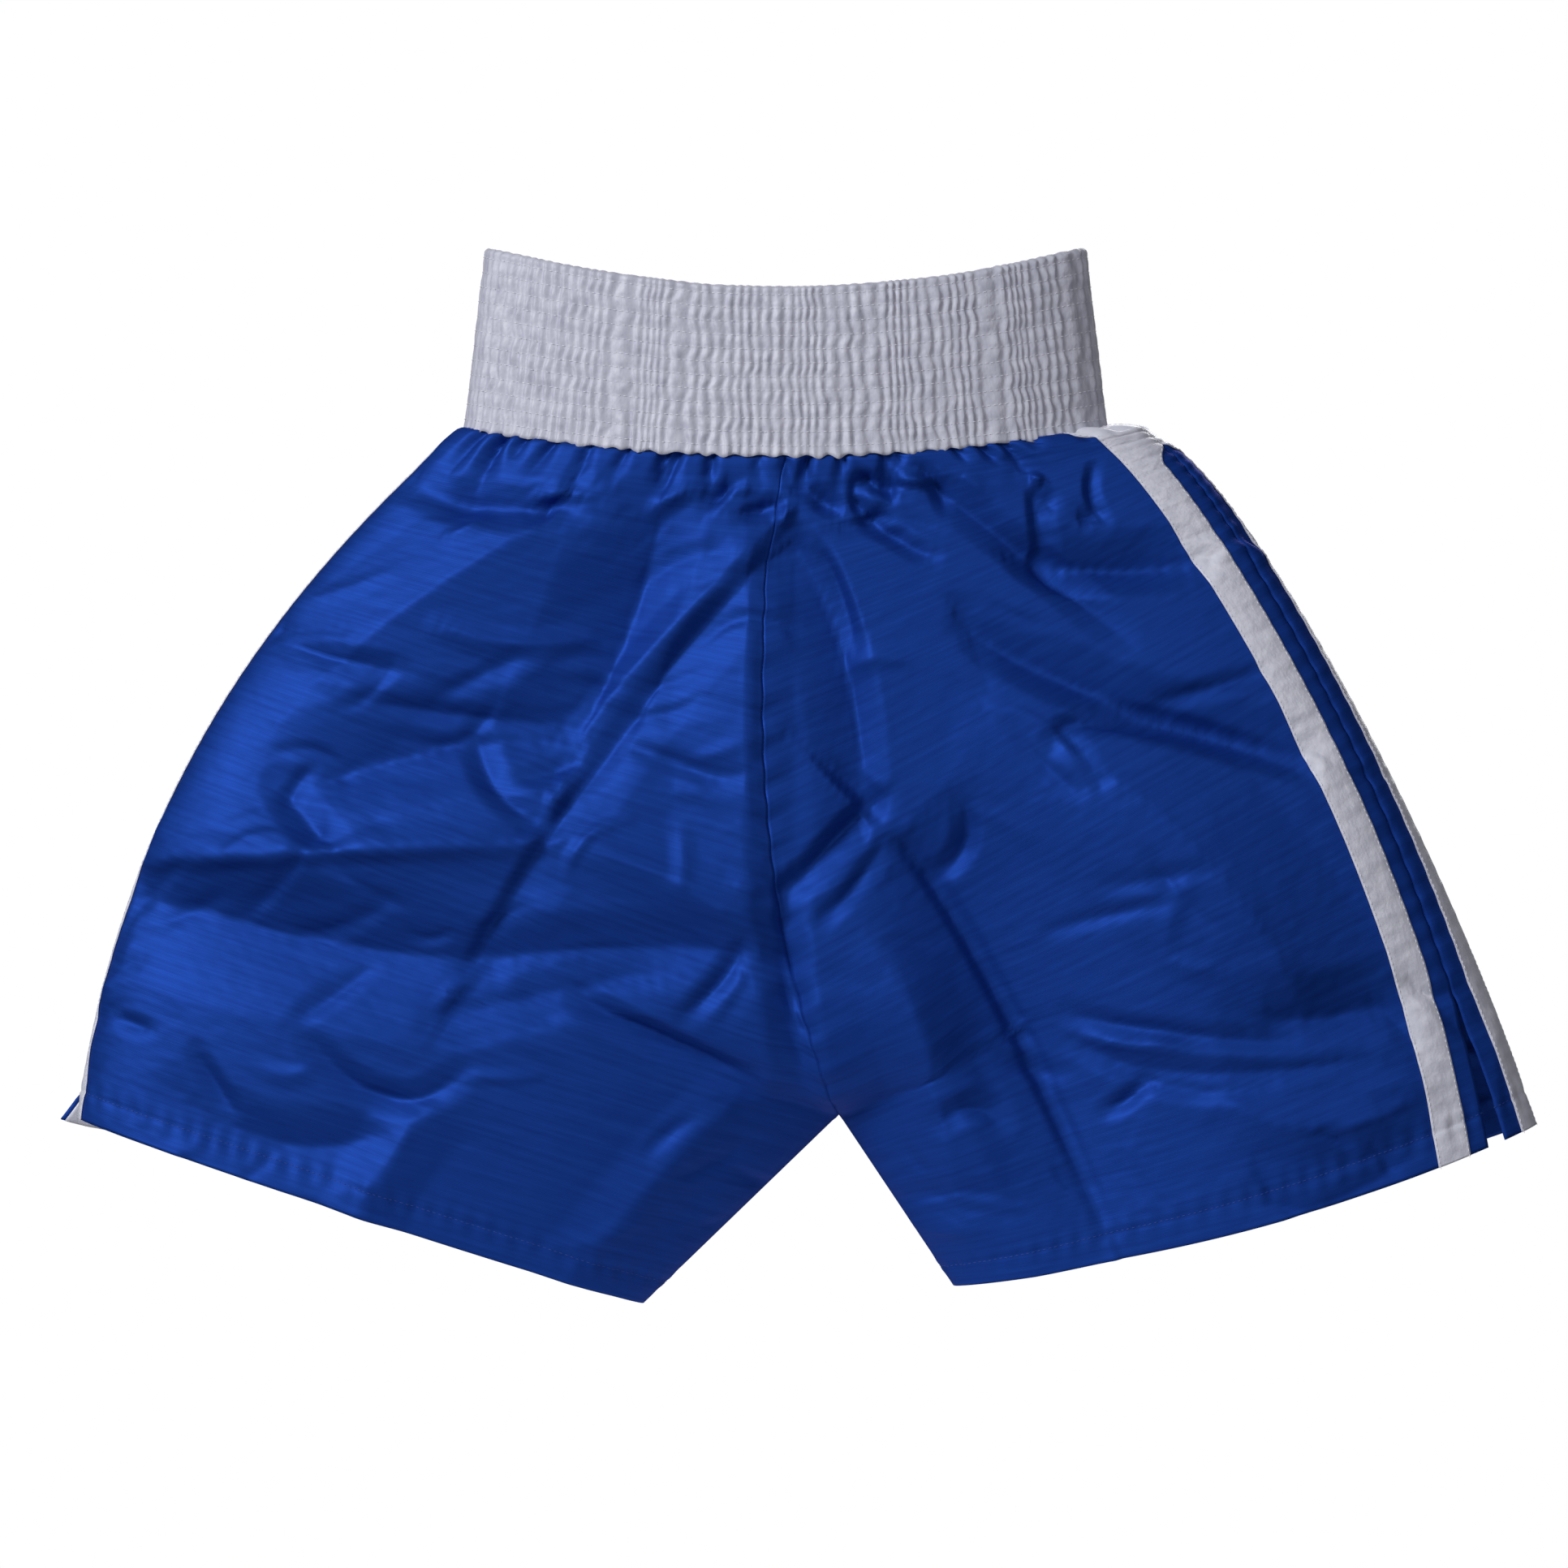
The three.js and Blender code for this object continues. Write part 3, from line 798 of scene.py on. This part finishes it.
def sewing_thread(name, code):
    # Spun polyester thread: a twisted, slightly fuzzy strand, duller than the satin that it sews.
    material, tree = new_material(name)
    place = add(tree, "ShaderNodeTexCoord").outputs["Object"]
    # The strands' twist is about 0.3 mm, and is drawn 0.8 mm apart to show.
    twist = add(tree, "ShaderNodeTexNoise", {"Vector": place, "Scale": 1200.0, "Detail": 1.0})
    # The twist's noise also darkens the colour a fifth where its bump dips: painted shade in the
    # grooves.
    twist_shade = tuple(0.8 * v for v in srgb(code)[:3]) + (1,)
    finish_material(tree, {
        "Base Color": blend_colours(tree, twist.outputs["Fac"], twist_shade, srgb(code)),
        "Roughness": 0.7,
        "Normal": bump(tree, twist.outputs["Fac"], 0.05 * MM),
    })
    return material


BLUE = blue_satin()
SILVER = silver_satin()
WHITE = white_tape()
ELASTIC = knitted_elastic()
BLUE_THREAD = sewing_thread("spun_polyester_thread_blue", "1c3f94")
PALE_THREAD = sewing_thread("spun_polyester_thread_white", "dfe0ea")


# ---- panels, stripes and facings


def finish_piece(piece, node):
    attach(piece, "root")
    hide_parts(node)


SEAM_FADE = 0.02  # the levels over which a seam's puckers die out at its lower end


def groove(distance, depth, width):
    """The dip that a row of stitches draws the cloth into."""
    return -depth * np.exp(-((distance / width) ** 2))


def ripple(run, spacing, drift, every, lean=0):
    """Waves along a seam, whose spacing drifts as cloth fed by hand does."""
    return np.sin(2 * math.pi * run / spacing + drift * np.sin(run / every) + lean)


def sewn_height(distance, level, width):
    """How far the seams draw the cloth in, and the puckers that they leave beside them."""
    run = level * OUTSEAM_LENGTH
    from_middle = width - distance
    above_crotch = 1 - smooth(level, CROTCH - SEAM_FADE, CROTCH)
    above_vent = 1 - smooth(level, VENT_TOP - SEAM_FADE, VENT_TOP)
    height = groove(from_middle, depth=0.45 * MM, width=4.5 * MM)
    waves = ripple(run, spacing=20 * MM, drift=1.3, every=31 * MM)
    height += 0.9 * MM * waves * np.exp(-from_middle / (10 * MM)) * above_crotch
    height += groove(distance, depth=0.8 * MM, width=2.0 * MM) * above_vent
    waves = ripple(run, spacing=15 * MM, drift=1.1, every=23 * MM)
    height += 0.45 * MM * waves * np.exp(-distance / (14 * MM)) * above_vent
    from_stitches = ((1 - level) * OUTSEAM_LENGTH - HEM_STITCH) / MM
    height += groove(from_stitches, depth=0.5 * MM, width=1.8)
    waves = ripple(distance, spacing=12 * MM, drift=1.2, every=19 * MM)
    height += 0.45 * MM * waves * np.exp(-((from_stitches / 8) ** 2))
    return height


TAPE_CROWN = 0.25  # millimetres that a tape's middle stands above its edges,
TAPE_BARS = 0.09  # and its puckers above that


def build_panel(side, face, distance, points, normals, creases):
    """One panel with its stripe and its vent facing. Returns the lines that its stitches follow."""
    name = f"{face}_{side.name}"
    fine = refine(points)
    level = halve_spacing(LEVELS[:, None], 0)
    distance = refine(distance[..., None])[..., 0]
    width = distance[:, -1:]
    normal = refine(normals)
    normal /= np.linalg.norm(normal, axis=2, keepdims=True)
    levels = np.broadcast_to(level, distance.shape)
    sharp = press_folds(
        fine.reshape(-1, 3), normal.reshape(-1, 3), levels.reshape(-1), *creases
    )
    lift = sewn_height(distance, level, width) + SHARP_DEPTH * sharp.reshape(distance.shape)
    outer = fine + normal * lift[..., None]
    in_hem = smooth(level, HEM_FOLD - 0.004, HEM_FOLD + 0.001)
    thickness = lerp(SATIN, HEM_THICKNESS, in_hem)[..., None]
    uv = np.stack((distance, levels * OUTSEAM_LENGTH), -1)
    panel = closed_sheet(f"{name}_satin", outer, outer - normal * thickness, uv, BLUE)
    finish_piece(panel, f"{name}_panel")

    first, last = (2 * column for column in STRIPE_COLUMNS)
    top = int(np.argmax(level[:, 0] >= -1e-9))
    cut = (slice(top, None), slice(first, last + 1))
    stripe_base = refine(outer[cut])
    out = grid_normals(stripe_base)
    out *= np.sign((out * refine(normal[cut])).sum())
    stripe_distance = refine(distance[cut][..., None])[..., 0]
    run = np.broadcast_to(halve_spacing(level[top:], 0) * OUTSEAM_LENGTH, stripe_distance.shape)
    across = np.linspace(-1, 1, stripe_distance.shape[1])[None]
    bars = ripple(run, spacing=9 * MM, drift=1.5, every=17 * MM, lean=0.5 * across)
    crown = (1 - across**4) * (TAPE_CROWN + TAPE_BARS * np.maximum(bars, -0.6))
    under = stripe_base + out * STRIPE_LIFT
    over = stripe_base + out * (STRIPE_LIFT + STRIPE_THICKNESS + crown[..., None] * MM)
    stripe_uv = np.stack((stripe_distance, run), -1)
    stripe = closed_sheet(f"{name}_side_tape", over, under, stripe_uv, WHITE)
    finish_piece(stripe, f"{name}_stripe")

    vent = 2 * VENT_ROW
    cut = (slice(vent, None), slice(1, 2 * FACING_COLUMN + 1))
    inside = outer[cut] - normal[cut] * (thickness[vent:] + FACING_LIFT)
    behind = inside - normal[cut] * FACING_THICKNESS
    facing = closed_sheet(f"{name}_vent_tape", behind, inside, uv[cut], WHITE)
    finish_piece(facing, f"{name}_vent_facing")

    stitch_row = int(np.argmin(np.abs((1 - level[:, 0]) * OUTSEAM_LENGTH - HEM_STITCH)))
    hem_line = outer[stitch_row] + normal[stitch_row] * THREAD_LIFT
    edges = [over[:, edge] + out[:, edge] * TAPE_THREAD_LIFT for edge in (1, -2)]
    return hem_line, edges


# ---- waistband

STITCH_ROWS = 12
FIRST_STITCH = 4 * MM
STITCH_SPACING = (BAND_HEIGHT - COVER_OUTSIDE - FIRST_STITCH - 3 * MM) / (STITCH_ROWS - 1)
ROWS_PER_STITCH = 5
RUCHE = 5.6 * MM  # from one shirred crest to the next
RUCHE_DRIFT = 0.8  # of that distance, all the way up,
RUCHE_JITTER = 0.22  # from one row of stitches to the next,
RUCHE_UNEVEN = 0.45  # and how much their heights differ
RUCHE_HEIGHTS = (1.5, 1.0, 0.5)  # millimetres outside, over the top and inside
RUCHE_ROOM = 0.9 * MM  # left for them outside the fold
LOBE = 12 * MM  # the scallops along the waistband's lower edge
LOBE_HANG = (0.6, 3.0)  # millimetres that the edge hangs down, and its scallops further
LOBE_HEIGHT = 7 * MM  # how far up the edge puffs out
COVER_COLUMNS = 400
COVER_GAP = 0.2 * MM  # from each end of a half to the seam
TURN_STEPS = 8
INSIDE_ROWS = 26


def wander(random, places, spacing):
    """A smooth line of random heights from -1 to 1, one each spacing along."""
    share = places / spacing
    knots = random.uniform(-1, 1, int(share.max()) + 3)
    low = np.floor(share).astype(int)
    return lerp(knots[low], knots[low + 1], smooth(share - low, 0, 1))


def ruches(random, along, height):
    """How far the shirred satin puffs out between its rows of stitches."""
    row = np.clip((height - FIRST_STITCH) / STITCH_SPACING, -1, STITCH_ROWS - 0.001) + 1
    below = np.floor(row).astype(int)
    between = row - below
    lines = STITCH_ROWS + 3
    shared = along / RUCHE + RUCHE_DRIFT * wander(random, along, 17 * MM)
    turns = np.array(
        [shared + RUCHE_JITTER * wander(random, along, 11 * MM) for _ in range(lines)]
    )
    sizes = np.array([1 + RUCHE_UNEVEN * wander(random, along, 9 * MM) for _ in range(lines)])
    steps = smooth(between, 0.1, 0.9)[:, None]
    phase = 2 * math.pi * lerp(turns[below], turns[below + 1], steps)
    size = lerp(sizes[below], sizes[below + 1], steps)
    puff = np.sin(math.pi * between) ** 0.7
    crest = (0.5 + 0.5 * np.cos(phase)) ** 0.8
    return size * crest * (0.5 + 0.5 * puff[:, None])


def build_waistband_cover(face, random):
    """Half of the shirred cover: up the outside, over the top of the elastic and down the inside."""
    fold = BAND_HEIGHT - COVER_OUTSIDE
    outside = np.linspace(0, fold, round(fold / STITCH_SPACING * ROWS_PER_STITCH) + 1)
    turn = np.linspace(0, math.pi, TURN_STEPS)[1:-1]
    inside = np.linspace(fold, 0, INSIDE_ROWS)
    radius = COVER_OUTSIDE - RUCHE_ROOM
    height = np.concatenate((outside, fold + radius * np.sin(turn), inside))
    outwards = np.concatenate(
        (np.full(len(outside), radius), radius * np.cos(turn), np.full(len(inside), -radius))
    )
    relief = np.repeat(RUCHE_HEIGHTS, (len(outside), len(turn), len(inside)))
    start = -math.pi / 2 if face == "front" else math.pi / 2
    angles = np.linspace(start, start + math.pi, 1441)
    lengths = lengths_along(band_point(angles, BAND_HEIGHT / 2, 0))
    along = np.linspace(COVER_GAP, lengths[-1] - COVER_GAP, COVER_COLUMNS + 1)
    angle = np.interp(along, lengths, angles)
    puff = ruches(random, along, height)
    lobe = 0.5 + 0.5 * np.cos(2 * math.pi * (along / LOBE + 0.5 * wander(random, along, 22 * MM)))
    lobe = lobe * (0.6 + 0.4 * wander(random, along, 19 * MM))
    near_edge = np.clip(1 - height / LOBE_HEIGHT, 0, 1) * (outwards > 0)
    lift = (relief[:, None] * puff + near_edge[:, None] * (0.5 + 1.5 * lobe[None])) * MM
    hang = near_edge[:, None] ** 2 * (LOBE_HANG[0] + LOBE_HANG[1] * lobe[None]) * MM
    slump = 0.8 * MM * wander(random, along, 35 * MM)
    rolled = (np.abs(outwards) <= 0.9 * radius)[:, None]
    lean = np.sign(outwards)[:, None] * np.where(rolled, 0, 1)
    lift = lift * (0.4 + 0.6 * smooth(np.abs(np.cos(angle)), 0, 0.4))[None]
    path = band_point(angle[None], height[:, None] - hang, outwards[:, None] + lift * lean)
    slumped = slump[None] * 0.5 * (height / BAND_HEIGHT)[:, None]
    path[..., 2] += np.where(rolled, lift * 0.5, 0) + slumped
    normal = grid_normals(path)
    middle = len(outside) // 2, COVER_COLUMNS // 2
    if (normal[middle][1] > 0) == (face == "front"):
        normal = -normal
    run = np.append(0, np.cumsum(np.hypot(np.diff(height), np.diff(outwards))))
    uv = np.stack(np.broadcast_arrays(along[None], run[:, None]), -1)
    inner = path - normal * COVER_CLOTH
    cover = closed_sheet(f"waistband_satin_{face}", path, inner, uv, SILVER)
    finish_piece(cover, f"waistband_cover_{face}")
    stitched = FIRST_STITCH + np.arange(STITCH_ROWS) * STITCH_SPACING
    rows = np.abs(outside - stitched[:, None]).argmin(1)
    return [path[row] + normal[row] * THREAD_LIFT for row in rows]


ELASTIC_BOTTOM = 10 * MM
ELASTIC_HALF = 0.8 * MM
RIB_HEIGHT = 0.15 * MM
RIB_SPACING = 4 * MM
ELASTIC_ENDS = 1e-4  # radians from the back middle to each end, where they are sewn together
METRES_A_RADIAN = 0.125  # round the waist, for the elastic's pattern


def build_elastic():
    """The waistband's elastic: one loop with its ends sewn together at the back middle."""
    heights = np.linspace(ELASTIC_BOTTOM, BAND_HEIGHT - COVER_OUTSIDE - 1 * MM, 40)
    angle = np.linspace(-math.pi + ELASTIC_ENDS, math.pi - ELASTIC_ENDS, 240)
    rib = RIB_HEIGHT * np.cos(2 * math.pi * heights / RIB_SPACING)[:, None]
    outer = band_point(angle[None], heights[:, None], ELASTIC_HALF + rib)
    inner = band_point(angle[None], heights[:, None], -ELASTIC_HALF - rib)
    uv = np.stack(np.broadcast_arrays(angle[None] * METRES_A_RADIAN, heights[:, None]), -1)
    elastic = closed_sheet("knitted_elastic", outer, inner, uv, ELASTIC)
    finish_piece(elastic, "waist_elastic")


# ---- stitches

def stitch_tree():
    """Geometry Nodes: a short plump stitch every so far along each line of edges."""
    tree = bpy.data.node_groups.new("stitches_along_lines", "GeometryNodeTree")
    face = tree.interface
    face.new_socket("Lines", in_out="INPUT", socket_type="NodeSocketGeometry")
    for name in ("Spacing", "Thickness", "Length"):
        face.new_socket(name, in_out="INPUT", socket_type="NodeSocketFloat")
    face.new_socket("Thread", in_out="INPUT", socket_type="NodeSocketMaterial")
    face.new_socket("Stitches", in_out="OUTPUT", socket_type="NodeSocketGeometry")
    source = add(tree, "NodeGroupInput").outputs
    line = add(tree, "GeometryNodeMeshToCurve", {"Mesh": source["Lines"]})
    spaced = add(tree, "GeometryNodeResampleCurve",
                 {"Curve": line.outputs[0], "Length": source["Spacing"]}, mode="LENGTH")
    way = add(tree, "GeometryNodeInputTangent")
    turn = add(tree, "FunctionNodeAlignEulerToVector", {"Vector": way.outputs[0]}, axis="Z")
    size = add(tree, "ShaderNodeCombineXYZ",
               {"X": source["Thickness"], "Y": source["Thickness"], "Z": source["Length"]})
    bead = add(tree, "GeometryNodeMeshIcoSphere", {"Radius": 0.5, "Subdivisions": 1})
    stitches = add(tree, "GeometryNodeInstanceOnPoints", {
        "Points": spaced.outputs[0],
        "Instance": bead.outputs[0],
        "Rotation": turn.outputs[0],
        "Scale": size.outputs[0],
    })
    real = add(tree, "GeometryNodeRealizeInstances", {0: stitches.outputs[0]})
    smoothed = add(tree, "GeometryNodeSetShadeSmooth", {0: real.outputs[0]})
    threaded = add(tree, "GeometryNodeSetMaterial",
                   {"Geometry": smoothed.outputs[0], "Material": source["Thread"]})
    add(tree, "NodeGroupOutput", {"Stitches": threaded.outputs[0]})
    return tree


def sew(name, lines, material, spacing, thickness, length):
    """Stitches along lines of points, as one plain mesh."""
    count = np.cumsum([0] + [len(line) for line in lines])
    edges = [(a + i, a + i + 1) for a, line in zip(count, lines) for i in range(len(line) - 1)]
    path = bpy.data.meshes.new(name)
    path.from_pydata(np.concatenate(lines).tolist(), edges, [])
    guide = put_in_scene(name + "_guide", path)
    sewing = guide.modifiers.new("sew", "NODES")
    sewing.node_group = STITCHES
    values = {"Spacing": spacing, "Thickness": thickness, "Length": length, "Thread": material}
    for item in STITCHES.interface.items_tree:
        if item.name in values and item.in_out == "INPUT":
            sewing[item.identifier] = values[item.name]
    depsgraph = bpy.context.evaluated_depsgraph_get()
    mesh = bpy.data.meshes.new_from_object(guide.evaluated_get(depsgraph), depsgraph=depsgraph)
    bpy.data.objects.remove(guide)
    mesh.name = name
    thread = put_in_scene(name, mesh)
    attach(thread, "root")


STITCHES = stitch_tree()


# ---- make the shorts

rest_grids, distances = zip(*(panel_grid(side, face) for side, face in PANELS))
joined, places = weld(rest_grids)
all_quads = np.concatenate(
    [outward_quads(joined, place, face) for place, (_, face) in zip(places, PANELS)]
)
joined_level = np.zeros(len(joined))
for place in places:
    joined_level[place] = LEVELS[:, None]
random = np.random.default_rng(7)
long_back_folds = back_folds(random)
CRUMPLE_AREA = ((-400, -500), (400, -60))  # millimetres from the waistband's middle
PUFF_AREA = ((-175, -82), (175, -58))
front_crumple, back_crumple = (
    crumple_folds(random, CRUMPLE_FOLDS, *CRUMPLE_AREA, longest=34, deepest=2.2)
    + crumple_folds(random, PUFF_FOLDS, *PUFF_AREA, longest=15, deepest=5)
    for _ in range(2)
)
creases = (list(SHARP_FOLDS) + front_crumple, back_crumple)
normal = vertex_normals(joined, all_quads)
lift = BROAD_DEPTH * press_folds(joined, normal, joined_level, BROAD_FOLDS, long_back_folds)
drop = np.maximum(joined_level, 0) * OUTSEAM_LENGTH
lift += gather_height(random, share_round_band(joined), drop) * (joined_level > 0)
cloth = joined + normal * lift[:, None]
cloth = let_fall(cloth, all_quads, joined_level, facing_share(normal))
cloth_normal = vertex_normals(cloth, all_quads)

build_elastic()
band_lines = []
for face in ("front", "back"):
    band_lines += build_waistband_cover(face, random)
hem_lines, tape_lines = [], []
for (side, face), rest, distance, place in zip(PANELS, rest_grids, distances, places):
    hem_line, edges = build_panel(
        side, face, distance, cloth[place], cloth_normal[place], creases
    )
    hem_lines.append(hem_line)
    tape_lines += edges
sew("hem_stitches", hem_lines, BLUE_THREAD,
    spacing=3.2 * MM, thickness=0.45 * MM, length=2.4 * MM)
sew("tape_stitches", tape_lines, PALE_THREAD,
    spacing=3.2 * MM, thickness=0.4 * MM, length=2.3 * MM)
sew("waistband_stitches", band_lines, PALE_THREAD,
    spacing=3.4 * MM, thickness=0.4 * MM, length=2.4 * MM)


# ---- floor, light and camera

MIDDLE = (CAD_BOX[0] + CAD_BOX[1]) / 2


def area_light(name, place, size, power):
    """A soft white light, aimed at the middle of the shorts."""
    light = bpy.data.lights.new(name, "AREA")
    light.size = size
    light.energy = power
    lamp = put_in_scene(name, light)
    lamp.location = place
    lamp.rotation_euler = (MIDDLE - Vector(place)).to_track_quat("-Z", "Y").to_euler()


FLOOR_RADIUS = 0.5
FLOOR_Z = CAD_BOX[0].z - 0.25


def build_floor():
    """A plain pale disc below the hanging shorts."""
    ring = np.linspace(0, 2 * math.pi, 96, endpoint=False)
    rim = np.stack((FLOOR_RADIUS * np.cos(ring), FLOOR_RADIUS * np.sin(ring), 0 * ring + FLOOR_Z), 1)
    material, tree = new_material("matt_paper_white")
    finish_material(tree, {"Base Color": srgb("e9e9e9"), "Roughness": 0.9})
    floor = make_object("floor", rim, np.arange(len(rim))[None], material)


build_floor()
area_light("key", (-2.8, -2.4, 1.6), size=1.8, power=172)
area_light("fill", (1.3, -1.8, 0.8), size=1.4, power=14)
area_light("low_fill", (0.2, -2.3, -0.8), size=1.5, power=6)
area_light("back_light", (0.6, 1.9, 0.9), size=1.6, power=30)

world = bpy.data.worlds.new("white_studio")
world.use_nodes = True
bpy.context.scene.world = world
sky = world.node_tree
sky.nodes.clear()
seen = add(sky, "ShaderNodeLightPath").outputs["Is Camera Ray"]
strength = add(sky, "ShaderNodeMapRange", {"Value": seen, RANGE_LOW: 0.04, RANGE_HIGH: 1.0})
white = add(sky, "ShaderNodeBackground",
            {"Color": (1, 1, 1, 1), "Strength": strength.outputs[0]})
add(sky, "ShaderNodeOutputWorld", {"Surface": white.outputs[0]})

lens = bpy.data.cameras.new("camera")
lens.lens = 150
lens.sensor_width = 36
camera = put_in_scene("camera", lens)
camera.location = (-0.001, -3.62, -0.227)
camera.rotation_euler = (math.pi / 2, 0, 0)
bpy.context.scene.camera = camera
bpy.context.scene.view_settings.view_transform = "Standard"
